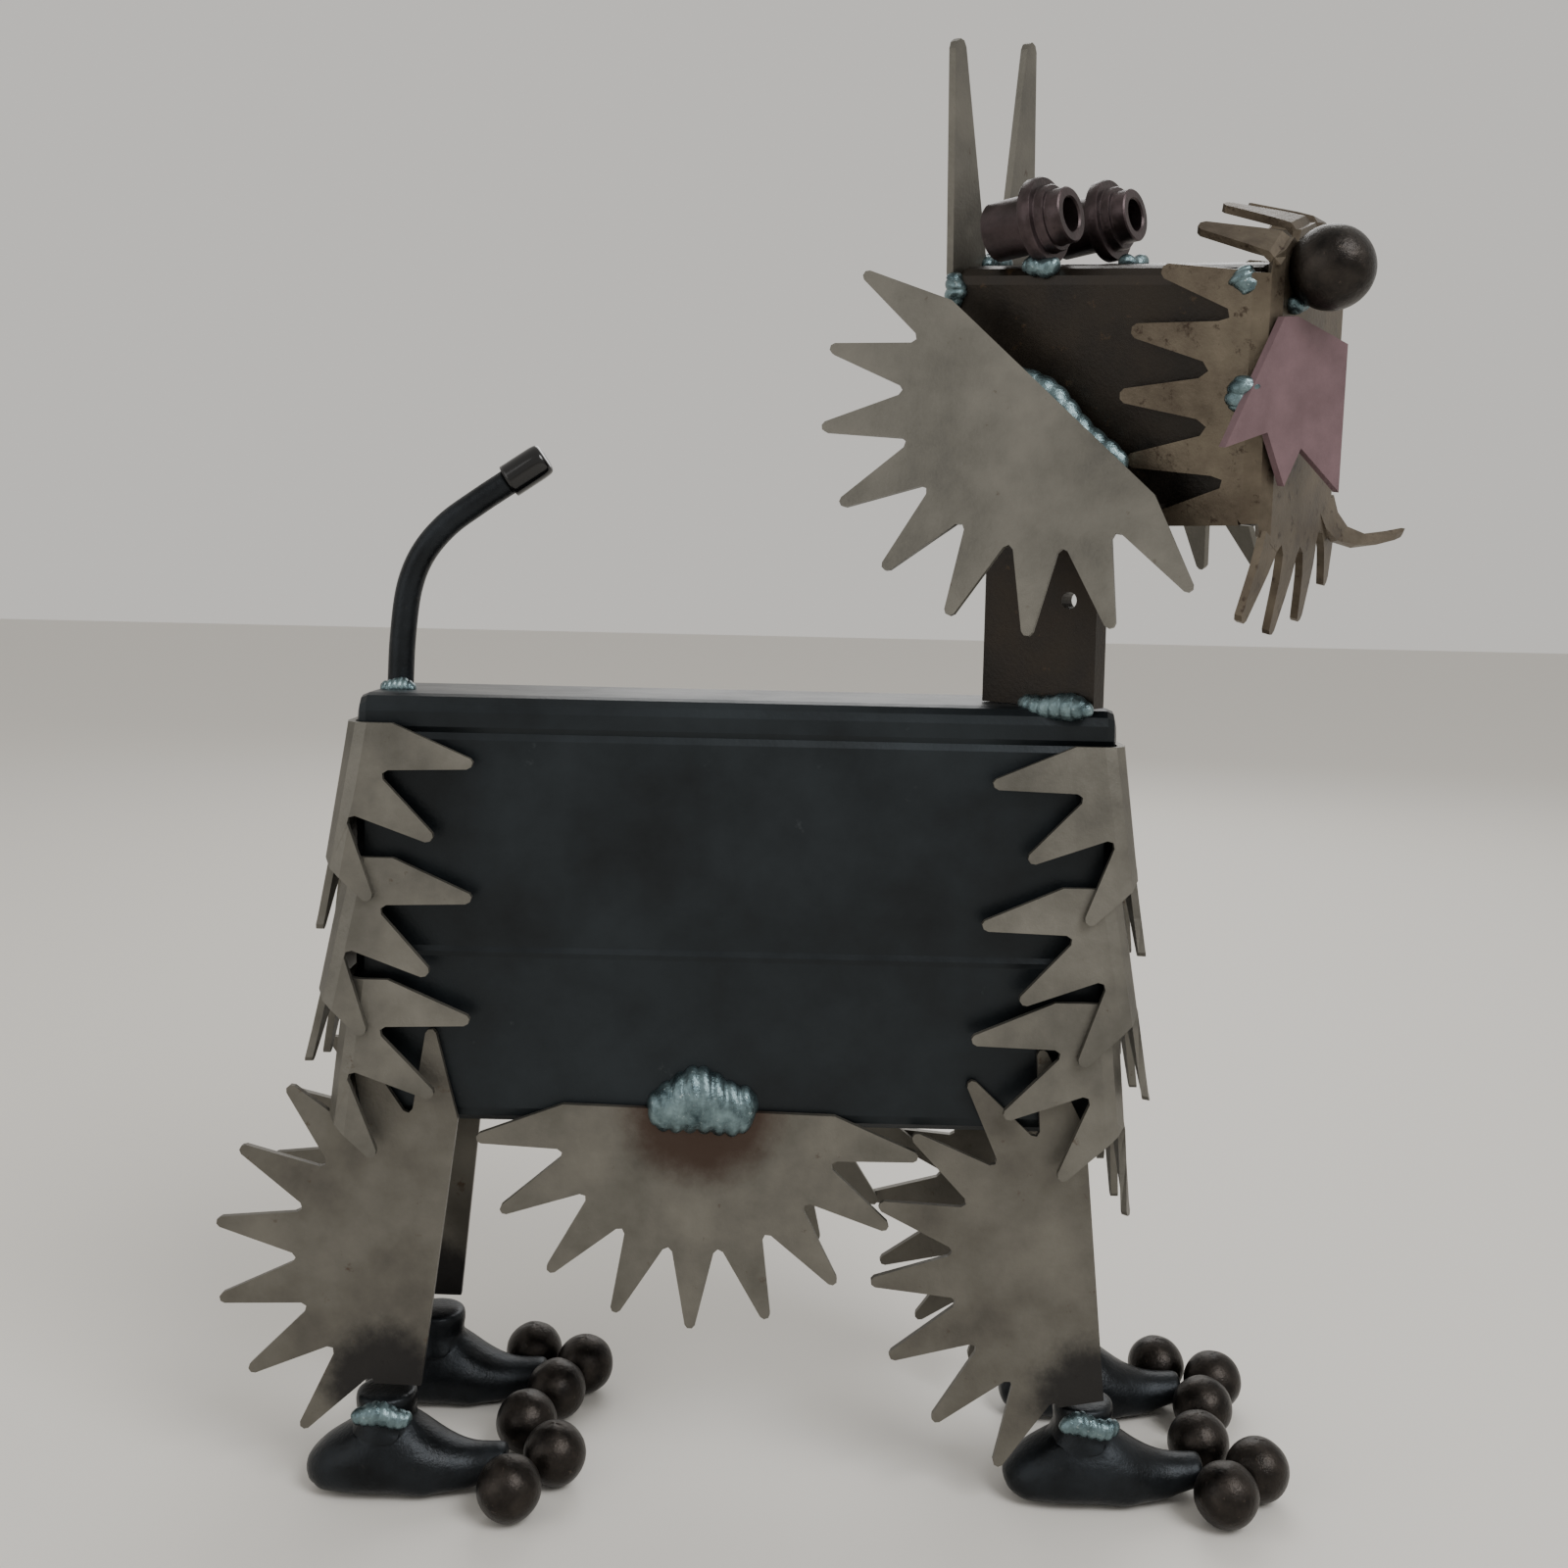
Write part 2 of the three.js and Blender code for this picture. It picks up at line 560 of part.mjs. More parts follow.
function faceDisc() {
  const pieces = [faceCore()];
  for (let k = 0; k < 18; k += 1) {
    const angle = k * TOOTH_STEP > 180 ? k * TOOTH_STEP - 360 : k * TOOTH_STEP;
    const at = polar(GULLET_RADIUS + 0.6, angle);
    const root = facePoint(at.x, at.y, 0);
    const { normal } = faceFold(at.x);
    const side = Math.sign(at.x) || 1;
    const rise = side > 0 ? angle : Math.sign(angle || 1) * (180 - Math.abs(angle));
    if (Math.abs(rise) < 50) {
      if (k === 16) {
        const start = facePoint(20, -33, 0);
        const from = new THREE.Vector3(0, 0.35, -0.94).normalize();
        const to = new THREE.Vector3(0.5, 0.85, 0.1).normalize();
        pieces.push(tooth({ root: start, from, to, normal: faceFold(20).normal, bendEnd: 0.85, length: 38 }));
      } else {
        const direction = surfaceDirection(at.x, side, rise * 0.35);
        pieces.push(tooth({ root, from: direction, to: direction, normal }));
      }
    } else if (angle > 0) {
      const out = new THREE.Vector3(0, Math.cos(rad(angle)), Math.sin(rad(angle)));
      const back = new THREE.Vector3(-1, Math.cos(rad(angle)) * 0.25, 0.22).normalize();
      pieces.push(tooth({ root, from: out, to: back, normal: new THREE.Vector3(1, 0, 0), bendEnd: 0.3 }));
    } else {
      const down = new THREE.Vector3(0, Math.cos(rad(angle)), Math.sin(rad(angle)));
      const swept = new THREE.Vector3(-0.16, Math.cos(rad(angle)) * 0.8, Math.sin(rad(angle))).normalize();
      pieces.push(tooth({ root, from: down, to: swept, normal: new THREE.Vector3(1, 0, 0), bendEnd: 0.6 }));
    }
  }
  return join(...pieces);
}
add(head, 'face_disc', faceDisc(), plateSteel);

// Nose: a ball with a flat spot against the face disc, at its top edge.
const NOSE = { radius: 11.4, x: FACE.front + 9, y: -13.9, z: 33.4 };
const noseBall = new THREE.SphereGeometry(NOSE.radius, 16, 10);
noseBall.translate(NOSE.x, NOSE.y, NOSE.z);
const noseRoom = slab(0, FACE.front + GAP, -60, 60, -60, 60);
add(head, 'nose_ball', cut(noseBall, noseRoom), ballSteel);

// Tongue: a toothed sector hanging from under the nose, standing off the face on a slant. Each entry is a
// tooth or a notch: its angle from straight down and its reach from the sector's point.
const TONGUE = { x: 99.9, y: -24, z: 21.4, turn: 20, foldAt: 23 };
const tongueEdge = [[-35, 39], [-13, 30], [1, 44], [11, 35], [26, 53], [37, 40], [47, 46], [58, 36], [70, 40]];
function tonguePlate() {
  const outline = [new THREE.Vector2(2.5, 0), new THREE.Vector2(-2.5, 0)];
  tongueEdge.forEach(([angle, reach]) => {
    outline.push(new THREE.Vector2(reach * Math.sin(rad(angle)), -reach * Math.cos(rad(angle))));
  });
  const along = new THREE.Vector3(Math.sin(rad(TONGUE.turn)), Math.cos(rad(TONGUE.turn)), 0);
  const ahead = new THREE.Vector3(Math.cos(rad(TONGUE.turn)), -Math.sin(rad(TONGUE.turn)), 0);
  return plate(outline.reverse(), (u, v, level) => {
    const past = Math.max(u - TONGUE.foldAt, 0);
    return new THREE.Vector3(TONGUE.x, TONGUE.y, TONGUE.z + v)
      .addScaledVector(along, Math.min(u, TONGUE.foldAt) + past * 0.35)
      .addScaledVector(ahead, (level * SHEET) / 2 - past * 0.5);
  }, [TONGUE.foldAt]);
}
add(head, 'tongue_plate', tonguePlate(), tongueSteel);

// Ruff: a half disc on each side of the head, its straight edge slanting down to the front.
function ruff(mirror) {
  const yaw = rad(20);
  const tilt = rad(6.5);
  const centre = new THREE.Vector3(71.4, -48.5, 324.7);
  const ahead = new THREE.Vector3(Math.cos(yaw), -Math.sin(yaw), 0);
  const normal = new THREE.Vector3(-Math.sin(yaw), -Math.cos(yaw), 0);
  const up = new THREE.Vector3(0, 0, Math.cos(tilt)).addScaledVector(normal, -Math.sin(tilt));
  const turned = (degrees) => ahead.clone().multiplyScalar(Math.cos(rad(degrees)))
    .addScaledVector(up, Math.sin(rad(degrees)));
  const geometry = flatPlate(halfDisc(), centre, turned(227.3), turned(317.3));
  head.updateMatrix();
  geometry.applyMatrix4(head.matrix.clone().invert());
  if (!mirror) return geometry;
  const position = geometry.attributes.position;
  for (let i = 0; i < position.count; i += 1) position.setY(i, -position.getY(i));
  const flipped = [...geometry.index.array];
  for (let i = 0; i < flipped.length; i += 3) [flipped[i], flipped[i + 1]] = [flipped[i + 1], flipped[i]];
  geometry.setIndex(flipped);
  return geometry;
}
add(head, 'ruff_near', ruff(false), plateSteel);
add(head, 'ruff_far', ruff(true), plateSteel);

// ---- tail ----
const tailPath = new THREE.CatmullRomCurve3([
  [-117, 237.4], [-116.4, 252], [-114.6, 267], [-110.6, 277.6], [-103.4, 286.6], [-94, 293.8], [-84.6, 300.2],
].map(([x, z]) => new THREE.Vector3(x, 0, z)));
function circle(radius, sides) {
  const shape = new THREE.Shape();
  for (let i = 0; i < sides; i += 1) {
    const p = polar(radius, (i * 360) / sides);
    if (i === 0) shape.moveTo(p.x, p.y);
    else shape.lineTo(p.x, p.y);
  }
  shape.closePath();
  return shape;
}
add(dog, 'tail_rod', new THREE.ExtrudeGeometry(circle(4, 10), { steps: 18, extrudePath: tailPath }), forgedIron);

function tailCap() {
  const end = tailPath.getPoint(1);
  const direction = tailPath.getTangent(1);
  const profile = [[0, 0.3], [5, 0.3], [5.3, 3], [5.3, 9], [4.6, 11.6], [2.6, 13.2], [0, 13.8]]
    .map(([r, h]) => new THREE.Vector2(r, h));
  const cap = new THREE.LatheGeometry(profile, 12);
  cap.applyQuaternion(new THREE.Quaternion().setFromUnitVectors(new THREE.Vector3(0, 1, 0), direction));
  cap.translate(end.x, end.y, end.z);
  return cap;
}
add(dog, 'tail_cap', tailCap(), vinyl);

// ---- the whole dog stands on z = 0 with the middle of its box at the origin ----
group.updateMatrixWorld(true);
const box = new THREE.Box3();
group.traverse((node) => {
  if (!node.isMesh) return;
  const corner = new THREE.Vector3();
  const { position } = node.geometry.attributes;
  for (let i = 0; i < position.count; i += 1) {
    box.expandByPoint(corner.fromBufferAttribute(position, i).applyMatrix4(node.matrixWorld));
  }
});
dog.position.set(-(box.min.x + box.max.x) / 2, -(box.min.y + box.max.y) / 2, -box.min.z);

export default group;
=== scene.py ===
import math
import bmesh
import bpy
import numpy as np
from mathutils import Matrix, Vector


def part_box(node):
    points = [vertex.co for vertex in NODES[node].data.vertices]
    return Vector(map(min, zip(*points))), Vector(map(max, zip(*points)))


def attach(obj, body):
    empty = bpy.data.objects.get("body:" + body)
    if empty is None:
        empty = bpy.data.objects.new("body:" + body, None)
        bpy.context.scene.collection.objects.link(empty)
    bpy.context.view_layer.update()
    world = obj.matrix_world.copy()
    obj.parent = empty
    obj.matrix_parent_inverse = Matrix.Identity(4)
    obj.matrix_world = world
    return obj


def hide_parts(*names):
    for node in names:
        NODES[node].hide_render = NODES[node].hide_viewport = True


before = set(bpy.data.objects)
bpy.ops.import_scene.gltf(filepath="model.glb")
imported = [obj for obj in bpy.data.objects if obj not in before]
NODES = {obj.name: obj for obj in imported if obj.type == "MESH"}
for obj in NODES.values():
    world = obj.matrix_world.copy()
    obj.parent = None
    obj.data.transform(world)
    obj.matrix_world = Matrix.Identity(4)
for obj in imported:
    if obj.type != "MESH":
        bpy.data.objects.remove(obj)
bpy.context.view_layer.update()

# ---- body ----
# The trunk is a closed length of 2 by 5 inch rectangular steel tube that all else is welded to.
# Hot-rolled tube keeps its mill scale, which is blue-black and oily with thin lighter streaks.
MM = 0.001


def linear(text):
    """sRGB hex to linear: each channel c becomes ((c + 0.055) / 1.055) ** 2.4, or c / 12.92 when dark."""
    channels = [int(text[i:i + 2], 16) / 255 for i in (1, 3, 5)]
    return tuple(c / 12.92 if c <= 0.04045 else ((c + 0.055) / 1.055) ** 2.4 for c in channels) + (1.0,)


def add(tree, kind, settings=None, links=None, values=None):
    """Adds one node: settings are attributes, values are socket defaults and links are socket to source."""
    node = tree.nodes.new(kind)
    for key, value in (settings or {}).items():
        setattr(node, key, value)
    for key, value in (values or {}).items():
        node.inputs[key].default_value = value
    for key, source in (links or {}).items():
        tree.links.new(source, node.inputs[key])
    return node


def ramp(tree, source, stops):
    """A colour ramp over source with stops of (place, hex colour)."""
    node = add(tree, "ShaderNodeValToRGB", links={0: source})
    while len(node.color_ramp.elements) < len(stops):
        node.color_ramp.elements.new(0.5)
    for element, (place, colour) in zip(node.color_ramp.elements, stops):
        element.position = place
        element.color = linear(colour)
    return node.outputs["Color"]


def steel(name, dark, light, stain, metallic=0.7, rough=(0.4, 0.6), patch_mm=18, stain_from=0.6,
          bump=0.25, grain_mm=1.2, heat_tint_and_shade_rings=None):
    """Steel with three layers: broad patches from dark to light, rust or scale stains where a second noise
    is high, and a fine grain in the bump, the roughness following the broad patches. Colour rings given as
    ((place mm, radius mm, hex), ...) lie over it: heat tint at the belly welds, painted shade at the ankles."""
    spot_share, wobble_mm, relief_mm = 0.28, 10, 0.4
    material = bpy.data.materials.new(name)
    material.use_nodes = True
    tree = material.node_tree
    shader = tree.nodes["Principled BSDF"]
    place = add(tree, "ShaderNodeTexCoord").outputs["Object"]
    broad = add(tree, "ShaderNodeTexNoise", links={"Vector": place},
                values={"Scale": 1 / (patch_mm * MM), "Detail": 6.0, "Roughness": 0.6})
    spots = add(tree, "ShaderNodeTexNoise", links={"Vector": place},
                values={"Scale": 1 / (patch_mm * spot_share * MM), "Detail": 5.0, "Roughness": 0.7})
    grain = add(tree, "ShaderNodeTexNoise", links={"Vector": place},
                values={"Scale": 1 / (grain_mm * MM), "Detail": 3.0, "Roughness": 0.6})
    colour = ramp(tree, broad.outputs["Fac"], [(0.3, dark), (0.7, light)])
    edge = add(tree, "ShaderNodeMapRange", links={"Value": spots.outputs["Fac"]},
               values={"From Min": stain_from, "From Max": stain_from + 0.08, "To Min": 0.0, "To Max": 0.75})
    mixed = add(tree, "ShaderNodeMix", {"data_type": "RGBA"}, {0: edge.outputs[0], 6: colour},
                {7: linear(stain)}).outputs[2]
    for centre, radius, tint in heat_tint_and_shade_rings or ():
        away = add(tree, "ShaderNodeVectorMath", {"operation": "DISTANCE"}, {0: place},
                   {1: Vector(centre)}).outputs["Value"]
        wobble = add(tree, "ShaderNodeMath", {"operation": "MULTIPLY_ADD"},
                     {0: spots.outputs["Fac"], 2: away}, {1: wobble_mm * MM}).outputs[0]
        near = add(tree, "ShaderNodeMapRange", {"interpolation_type": "SMOOTHSTEP"}, {"Value": wobble},
                   {"From Min": (radius + 5) * MM * 0.75, "From Max": (radius + 5) * MM * 1.25,
                    "To Min": 0.9, "To Max": 0.0}).outputs[0]
        mixed = add(tree, "ShaderNodeMix", {"data_type": "RGBA"}, {0: near, 6: mixed},
                    {7: linear(tint)}).outputs[2]
    tree.links.new(mixed, shader.inputs["Base Color"])
    roughness = add(tree, "ShaderNodeMapRange", links={"Value": broad.outputs["Fac"]},
                    values={"From Min": 0.3, "From Max": 0.7, "To Min": rough[0], "To Max": rough[1]})
    tree.links.new(roughness.outputs[0], shader.inputs["Roughness"])
    shader.inputs["Metallic"].default_value = metallic
    height = add(tree, "ShaderNodeMath", {"operation": "ADD"},
                 {0: grain.outputs["Fac"], 1: spots.outputs["Fac"]}).outputs[0]
    relief = add(tree, "ShaderNodeBump", links={"Height": height},
                 values={"Strength": bump, "Distance": relief_mm * MM})
    tree.links.new(relief.outputs["Normal"], shader.inputs["Normal"])
    return material


def coat(material, *starts):
    """Puts a finish on every solid whose name begins with one of starts, in place of the plain one."""
    for node, item in NODES.items():
        if node.startswith(starts):
            item.data.materials.clear()
            item.data.materials.append(material)


BODY = steel("oiled_mill_scale", "#101417", "#22282c", "#33383b", 0.6, (0.28, 0.48), 40, 0.68, 0.15)
coat(BODY, "body_box")

# ---- neck and head ----
# The neck is a flat steel bar with one drilled hole and the head is a short closed length of tube.
# Their mill scale has gone brown and lets the rust through in spots.
HEAD = steel("brown_mill_scale", "#14110f", "#2f2820", "#4a3a28", 0.6, (0.3, 0.5), 26, 0.62, 0.2)
coat(HEAD, "neck_bar", "head_box")

# ---- muzzle ----
# A whole toothed disc of 2 mm plate on the head's front, its side, top and beard teeth bent round.
# The heat of bending has tinted the plate straw brown.
FACE = steel("heat_tinted_plate", "#3d342b", "#6e6557", "#2a1d15", 0.75, (0.33, 0.5), 18, 0.58)
coat(FACE, "face_disc")

# ---- tongue ----
# A toothed sector of 2 mm plate that hangs from the mouth, held by welds at its upper edge.
# Its colour is a dull dusty pink with hardly any shine.
TONGUE = steel("dusty_pink_plate", "#5c484c", "#755d62", "#3f3235", 0.35, (0.5, 0.65), 16, 0.68)
coat(TONGUE, "tongue_plate")

# ---- ears, ruff and coat ----
# Two tapered blades, a half disc on each side of the head, and six half discs bent round the body's ends.
# All are hot-rolled plate cut into teeth, a warm dull grey with rust specks.
PLATE = steel("hot_rolled_plate", "#57554f", "#75726a", "#46362a", 0.75, (0.38, 0.55), 22, 0.66)
coat(PLATE, "ear", "ruff", "chest_wrap", "rump_wrap")

# ---- belly ----
# A toothed half disc hangs under each side of the body by one heavy run of overlapping weld.
# The welding has left a brown ring in the plate around the run.
def middle(node):
    low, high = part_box(node)
    return (low + high) / 2


belly_heat = [(tuple(middle(f"belly_weld_{side}")), 22, "#3a2a22") for side in ("near", "far")]
BELLY = steel("hot_rolled_plate_by_weld", "#57554f", "#75726a", "#46362a", 0.75, (0.38, 0.55), 22, 0.66,
              heat_tint_and_shade_rings=belly_heat)
coat(BELLY, "belly_plate")
WELD = steel("weld_metal", "#334247", "#7f9498", "#b9c6c6", 0.9, (0.2, 0.4), 5, 0.62, 0.5)
coat(WELD, "belly_weld")


def piece(name, points, faces, material, node=None):
    """Makes a mesh object from arrays, in place, rides it on the body and lets it stand for its CAD node."""
    mesh = bpy.data.meshes.new(name)
    mesh.from_pydata(np.asarray(points).tolist(), [], faces)
    mesh.validate()
    mesh.polygons.foreach_set("use_smooth", [True] * len(mesh.polygons))
    mesh.materials.append(material)
    made = bpy.data.objects.new(name, mesh)
    bpy.context.scene.collection.objects.link(made)
    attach(made, "root")
    if node:
        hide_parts(node)
    return made


def grid_faces(rows, columns):
    """Quads of a grid of rows by columns whose columns close on themselves, with a fan to a pole at each
    end: the poles are the points rows * columns and rows * columns + 1."""
    i, j = np.meshgrid(np.arange(rows - 1), np.arange(columns), indexing="ij")
    k = (j + 1) % columns
    quads = np.stack([i * columns + j, i * columns + k, (i + 1) * columns + k, (i + 1) * columns + j], -1)
    faces = [list(map(int, q)) for q in quads.reshape(-1, 4)]
    first, last, tail = rows * columns, rows * columns + 1, (rows - 1) * columns
    for c in range(columns):
        n = (c + 1) % columns
        faces += [[first, n, c], [last, tail + c, tail + n]]
    return faces


def skin(rings):
    """Closed surface through rings of shape (rows, columns, 3), each end closed on its own middle."""
    rows, columns, _ = rings.shape
    points = np.concatenate([rings.reshape(-1, 3), rings[:1].mean(1), rings[-1:].mean(1)])
    return points, grid_faces(rows, columns)


def bead(start, end, width, height, out, ripples, seed, rows=60, columns=20):
    """Weld run from start to end: an ellipse carried along the line, its size a half circle's power at both
    ends, with crescent ripples that lean back at the edges and a slow wander."""
    start, end, out = (np.asarray(v, float) for v in (start, end, out))
    along = (end - start) / np.linalg.norm(end - start)
    out = out - along * (out @ along)
    out /= np.linalg.norm(out)
    side = np.cross(out, along)
    s = np.linspace(-0.995, 0.995, rows)[:, None]
    a = np.linspace(0, 2 * math.pi, columns, endpoint=False)[None, :]
    envelope = (1 - np.abs(s) ** 3.5) ** 0.5
    crescent = np.abs(np.sin((s + 0.09 * np.abs(np.cos(a))) * math.pi * ripples / 2)) ** 0.6
    size = envelope * (0.86 + 0.14 * crescent + 0.07 * np.sin(5 * s + seed))
    wander = 0.08 * width * np.sin(4.1 * s + seed)
    middle = (start + end) / 2 + along * (s * np.linalg.norm(end - start) / 2)[..., None]
    rings = (middle + side * (size * width / 2 * np.cos(a) + wander)[..., None]
             + out * (size * height * np.sin(a))[..., None])
    points, faces = skin(rings)
    return points, [f[::-1] for f in faces]


for side, out in (("near", -1), ("far", 1)):
    low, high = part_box(f"belly_weld_{side}")
    face_y = high.y if out < 0 else low.y
    z = (low.z + high.z) / 2
    points, faces = bead((low.x + 0.001, face_y, z), (high.x - 0.001, face_y, z),
                         (high.z - low.z) * 0.92, (high.y - low.y) * 0.9, (0, out, 0), 8, 2.0)
    points[:, 1] = np.maximum(points[:, 1], low.y + 0.0001) if out < 0 else np.minimum(points[:, 1], high.y)
    piece(f"belly_run_{side}", points, faces, WELD, f"belly_weld_{side}")

# ---- legs ----
# One toothed half disc stands on edge for each leg, welded to its foot at the ankle.
# Around each ankle the plate is painted near black: painted shade where the leg meets its foot.
ANKLE_FORWARD, ANKLE_UP = 23.5 * MM, 4 * MM
ankle_painted_shade = []
for end in ("rear", "front"):
    for side in ("near", "far"):
        low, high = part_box(f"foot_{end}_{side}")
        ankle_painted_shade.append(((low.x + ANKLE_FORWARD, (low.y + high.y) / 2, high.z + ANKLE_UP), 17, "#1c1b1d"))
LEG = steel("hot_rolled_plate_with_painted_ankle_shade", "#524f49", "#6f6c64", "#46362a", 0.75, (0.38, 0.55), 22, 0.64,
            heat_tint_and_shade_rings=ankle_painted_shade)
coat(LEG, "leg_plate")

# ---- feet ----
# Four clogs forged from iron, near black with a soft sheen; a toe ball sits in each of three seats.
# Each is the solid's own form, merged and then rounded by two subdivisions.
IRON = steel("forged_iron", "#121416", "#24282c", "#363330", 0.75, (0.28, 0.5), 14, 0.66, 0.35)
coat(IRON, "foot")
for node in [n for n in NODES if n.startswith("foot")]:
    mesh = NODES[node].data.copy()
    mesh.name = node + "_rounded"
    rounded = bpy.data.objects.new(node + "_rounded", mesh)
    bpy.context.scene.collection.objects.link(rounded)
    work = bmesh.new()
    work.from_mesh(mesh)
    bmesh.ops.remove_doubles(work, verts=work.verts, dist=0.02 * MM)
    bmesh.ops.dissolve_limit(work, angle_limit=math.radians(1.5), verts=work.verts, edges=work.edges)
    work.to_mesh(mesh)
    work.free()
    mesh.polygons.foreach_set("use_smooth", [True] * len(mesh.polygons))
    smooth = rounded.modifiers.new("rounding", "SUBSURF")
    smooth.levels = smooth.render_levels = 2
    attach(rounded, "root")
    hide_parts(node)

# ---- toes ----
# Three 19 mm steel balls to a foot, dull and slightly hammered.
# Each is a hair smaller than its solid, so that it stays inside it.
BALLS = steel("dark_ball_steel", "#181615", "#38332f", "#4c443d", 0.85, (0.28, 0.45), 7, 0.62, 0.35)


def ball(centre, radius, rows=24, columns=40, dents=0.0, seed=0):
    """Sphere: ring at height r cos(t) with radius r sin(t), t from pole to pole, with slow dents."""
    t = np.linspace(math.pi * 0.985, math.pi * 0.015, rows)[:, None]
    a = np.linspace(0, 2 * math.pi, columns, endpoint=False)[None, :]
    r = radius * (1 - dents * (1 + np.sin(3 * a + seed) * np.sin(4 * t + 2 * seed)) / 2)
    x, y, z = r * np.sin(t) * np.cos(a), r * np.sin(t) * np.sin(a), r * np.cos(t) * np.ones_like(a)
    return skin(np.stack([x, y, z], -1) + np.asarray(centre))


for number, node in enumerate(n for n in NODES if n.startswith("toe_ball")):
    low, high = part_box(node)
    centre = (low + high) / 2
    points, faces = ball(centre, (high.z - low.z) / 2 * 0.998, dents=0.02, seed=number)
    piece(node.replace("toe_ball", "toe"), points, faces, BALLS, node)

# ---- nose ----
# One larger steel ball of the same kind, welded to the top of the muzzle.
low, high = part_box("nose_ball")
centre = (low + high) / 2
points, faces = ball(centre, (high.z - low.z) / 2 * 0.985, 40, 60, 0.005)
piece("nose", points, faces, BALLS, "nose_ball")

# ---- eyes ----
# Two turned steel bushings with a flange and a collar, browned by heat, tipped up on the head's top.
# They are placed in the head's own frame: x forward, y to the far side, z up, from its back face's middle.
body_middle = middle("body_box")
HEAD_TURN = (Matrix.Rotation(math.radians(-35.9), 3, "Z") @ Matrix.Rotation(math.radians(4.3), 3, "Y")
             @ Matrix.Rotation(math.radians(9.6), 3, "X"))
HEAD_ORIGIN = np.array([body_middle.x + 0.0756, body_middle.y + 0.0076, 0.3343])


def on_head(points):
    """Points in mm in the head's frame, turned and moved to the dog's frame in metres."""
    return np.asarray(points, float) * MM @ np.array(HEAD_TURN).T + HEAD_ORIGIN


def turned(profile, count=64):
    """Surface of revolution about x: each (radius, along) of the profile swept by cos and sin of the turn."""
    profile = np.asarray(profile, float)
    a = np.linspace(0, 2 * math.pi, count, endpoint=False)
    radius, along = profile[:, 0][:, None], profile[:, 1][:, None]
    ring = np.stack([along * np.ones_like(a), radius * np.cos(a), radius * np.sin(a)], -1)
    rows = len(profile)
    i, j = np.meshgrid(np.arange(rows), np.arange(count), indexing="ij")
    n, k = (i + 1) % rows, (j + 1) % count
    quads = np.stack([i * count + j, n * count + j, n * count + k, i * count + k], -1).reshape(-1, 4)
    return ring.reshape(-1, 3), quads.tolist()


BUSH = steel("heat_browned_bushing", "#2b2424", "#54484a", "#1c1818", 0.8, (0.3, 0.48), 9, 0.64)
EYE_TIP = np.array(Matrix.Rotation(math.radians(-11), 3, "Y"))
EYE_FORWARD, EYE_UP = 26.8, 46.7
EYE_PROFILE = [(4.7, -15.9), (7.9, -15.9), (8.3, -15.4), (8.3, -2.3), (8.6, -1.9), (11.7, -1.9), (12.0, -1.5),
               (12.0, 1.5), (11.7, 1.9), (9.6, 1.9), (9.3, 2.3), (9.3, 4.1), (9.0, 4.5), (8.0, 4.5), (7.7, 4.9),
               (7.7, 8.5), (7.3, 8.9), (5.2, 8.9), (4.7, 8.4)]
for name, apart in (("near", -20.5), ("far", 20.5)):
    points, faces = turned(EYE_PROFILE)
    points = on_head(points @ EYE_TIP.T + np.array([EYE_FORWARD, apart, EYE_UP]))
    eye = piece(f"eye_bushing_{name}", points, faces, BUSH, f"eye_{name}")
    eye.data.set_sharp_from_angle(angle=math.radians(40))

# ---- tail ----
# A bent 8 mm rod stands at the back of the body with its end dipped in glossy black vinyl.
# One circle is carried along a curve through named points in the upright plane of the bend.
VINYL = steel("dipped_vinyl", "#050506", "#0b0b0c", "#101012", 0.0, (0.12, 0.2), 20, 0.9, 0.03)


def curve(points, steps):
    """Catmull-Rom: each span is half of 2b + (c - a)t + (2a - 5b + 4c - d)t2 + (3b - a - 3c + d)t3."""
    p = np.concatenate([[2 * points[0] - points[1]], points, [2 * points[-1] - points[-2]]])
    t = np.linspace(0, 1, steps, endpoint=False)[:, None]
    a, b, c, d = (p[i:len(p) - 3 + i][:, None, :] for i in range(4))
    spans = (2 * b + (c - a) * t + (2 * a - 5 * b + 4 * c - d) * t**2 + (3 * b - a - 3 * c + d) * t**3) / 2
    return np.concatenate([spans.reshape(-1, 3), points[-1:]])


def sweep(path, radii, columns=28):
    """A circle of each radius square to the path in the upright plane that the path lies in."""
    along = np.gradient(path, axis=0)
    along /= np.linalg.norm(along, axis=1)[:, None]
    side = np.array([0.0, 1.0, 0.0])
    up = np.cross(along, side)
    a = np.linspace(0, 2 * math.pi, columns, endpoint=False)[None, :, None]
    rings = path[:, None, :] + np.asarray(radii)[:, None, None] * (np.cos(a) * side + np.sin(a) * up[:, None, :])
    points, faces = skin(rings)
    return points, [f[::-1] for f in faces]


TAIL_X = [-117, -116.4, -114.6, -110.6, -103.4, -94, -84.6]
TAIL_Z = [237.4, 252, 267, 277.6, 286.6, 293.8, 300.2]
tail_points = np.array([[x + 13.5, 0, z] for x, z in zip(TAIL_X, TAIL_Z)]) * MM
tail_points += np.array([body_middle.x, body_middle.y, 0])
rod = curve(tail_points, 8)
points, faces = sweep(rod, np.full(len(rod), 3.95 * MM))
piece("tail_bent_rod", points, faces, IRON, "tail_rod")
heading = (rod[-1] - rod[-2]) / np.linalg.norm(rod[-1] - rod[-2])
t = np.linspace(0, 1, 22)
cap_path = rod[-1] + heading * (0.0001 + 0.0134 * np.sin(t * math.pi / 2))[:, None]
cap_radii = 5.2 * MM * np.sqrt(np.clip(1 - t**7, 0.004, 1))
points, faces = sweep(cap_path, cap_radii)
piece("tail_dipped_end", points, faces, VINYL, "tail_cap")

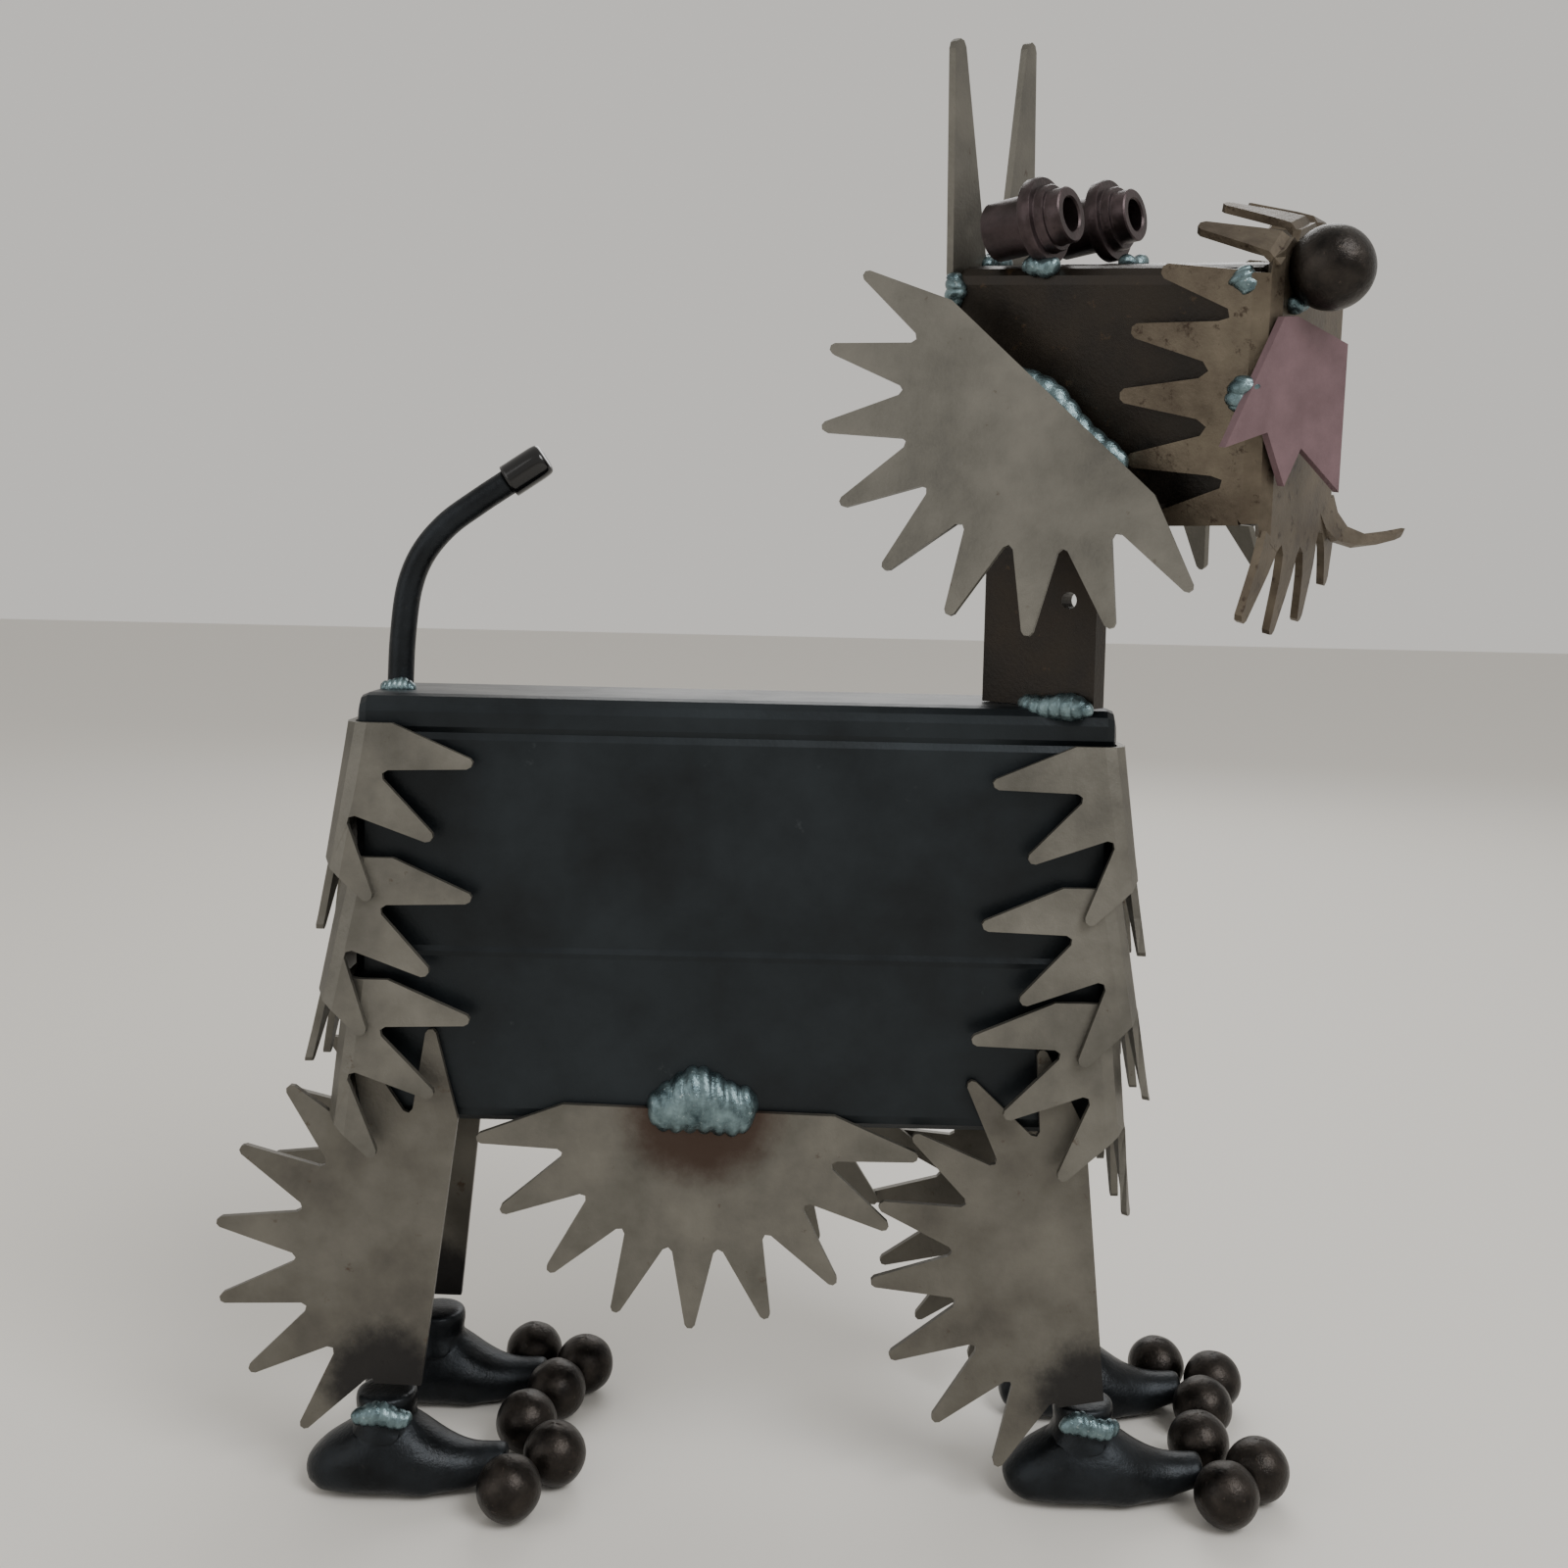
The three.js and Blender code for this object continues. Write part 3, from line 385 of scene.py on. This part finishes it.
# ---- smaller welds on the body ----
# Runs of weld metal that join the neck, the tail and the near feet; each sinks half its width into
# the pieces it joins.
TAIL_WELD_Y = -0.4 * MM
low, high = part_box("neck_bar")
tail_low, tail_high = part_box("tail_rod")
runs = [
    ("neck_run", (high.x - 0.024, low.y + 0.012, low.z), (high.x - 0.004, low.y - 0.002, low.z), 8, 4,
     (0, -1, 1.2)),
    ("tail_run", (tail_low.x - 0.001, TAIL_WELD_Y, low.z), (tail_low.x + 0.010, TAIL_WELD_Y, low.z),
     6, 3, (0, -0.5, 1)),
]
for end in ("rear", "front"):
    low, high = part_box(f"foot_{end}_near")
    runs.append((f"ankle_run_{end}", (low.x + 0.015, low.y + 0.004, high.z - 0.004),
                 (low.x + 0.033, low.y + 0.004, high.z - 0.005), 7, 3.5, (0, -1, 0.6)))
for number, (name, start, end_point, width, height, out) in enumerate(runs):
    points, faces = bead(start, end_point, width * MM, height * MM, out, 7, number)
    piece(name, points, faces, WELD)

# ---- welds on the head ----
# Runs at the ruff's seam, the tongue, the nose, the muzzle's corner, the ears and the eyes.
# Each row has a start and an end, a width and a height in mm, the way it bulges, and its ripples.
head_runs = [
    ("ruff_run", (21, -31.5, 7), (60, -33, -20), 11, 4.5, (0, -1, 0), 9),
    ("tongue_run_near", (93, -35, 7), (93, -35.5, -3), 8, 3, (0.5, -1, 0), 3),
    ("tongue_run_far", (101, 5, 9), (101, 5, 3), 4, 2, (1, 0, 0), 2),
    ("nose_run", (99, -20, 24), (99, -10, 24.5), 5, 3, (1, 0, 0), 3),
    ("muzzle_run", (91, -28, 27), (88, -27.5, 34), 7, 3, (0.4, -1, 0.3), 3),
    ("ear_run_near", (1, -24, 33), (1, -25.5, 22), 7, 4, (0.3, -1, 0), 4),
    ("ear_run_middle", (0, -8, 34.8), (0, 8, 34.8), 6, 3, (0.5, 0, 1), 4),
    ("eye_run_near", (23, -25.5, 34.4), (34, -24, 34.2), 6, 3, (0, -1, 0.6), 3),
    ("eye_run_far", (36, 10, 34.6), (40, 20, 34.6), 5, 2.5, (1, 0, 0.6), 3),
]
for number, (name, start, end_point, width, height, out, ripples) in enumerate(head_runs):
    points, faces = bead(start, end_point, width, height, out, ripples, number + 3)
    piece(name, on_head(points), faces, WELD)

# ---- setting ----
# A pale floor under an even soft light, a large soft key from the upper right front, a weak fill and
# a weaker light from behind.
floor_mesh = bpy.data.meshes.new("floor")
floor_mesh.from_pydata([(-6, -6, 0), (6, -6, 0), (6, 6, 0), (-6, 6, 0)], [], [(0, 1, 2, 3)])
floor = bpy.data.objects.new("floor", floor_mesh)
pale = bpy.data.materials.new("floor")
pale.use_nodes = True
pale_shader = pale.node_tree.nodes["Principled BSDF"]
pale_shader.inputs["Base Color"].default_value = linear("#d9d6d0")
pale_shader.inputs["Roughness"].default_value = 0.6
floor_mesh.materials.append(pale)
bpy.context.scene.collection.objects.link(floor)

world = bpy.data.worlds.new("soft_room")
bpy.context.scene.world = world
world.use_nodes = True
world.node_tree.nodes["Background"].inputs["Color"].default_value = linear("#dcd9d4")
world.node_tree.nodes["Background"].inputs["Strength"].default_value = 0.95


def lamp(name, place, aim, size, power):
    light = bpy.data.lights.new(name, "AREA")
    light.size, light.energy = size, power
    made = bpy.data.objects.new(name, light)
    made.location = place
    made.rotation_euler = (Vector(aim) - Vector(place)).to_track_quat("-Z", "Y").to_euler()
    bpy.context.scene.collection.objects.link(made)


lamp("key", (0.9, -1.1, 1.5), (0, 0, 0.2), 0.9, 26)
lamp("fill", (-1.3, -1.0, 0.7), (0, 0, 0.2), 1.2, 5)
lamp("back", (0.2, 1.4, 1.1), (0, 0, 0.25), 1.0, 8)

# ---- camera ----
# In front of the body's middle, half a metre off, tipped down four degrees.
FILM_MM = 36
camera = bpy.data.cameras.new("camera")
camera.lens = 1.09375 * FILM_MM
camera.sensor_width = FILM_MM
camera.shift_y = -0.0625
camera.clip_start = 0.01
holder = bpy.data.objects.new("camera", camera)
holder.location = body_middle + Vector((13.5, -521.9, 103.9)) * MM
pitch, roll = math.radians(4.1), math.radians(1.28)
holder.rotation_euler = (Matrix.Rotation(math.pi / 2 - pitch, 4, "X") @ Matrix.Rotation(roll, 4, "Z")).to_euler()
bpy.context.scene.collection.objects.link(holder)
bpy.context.scene.camera = holder
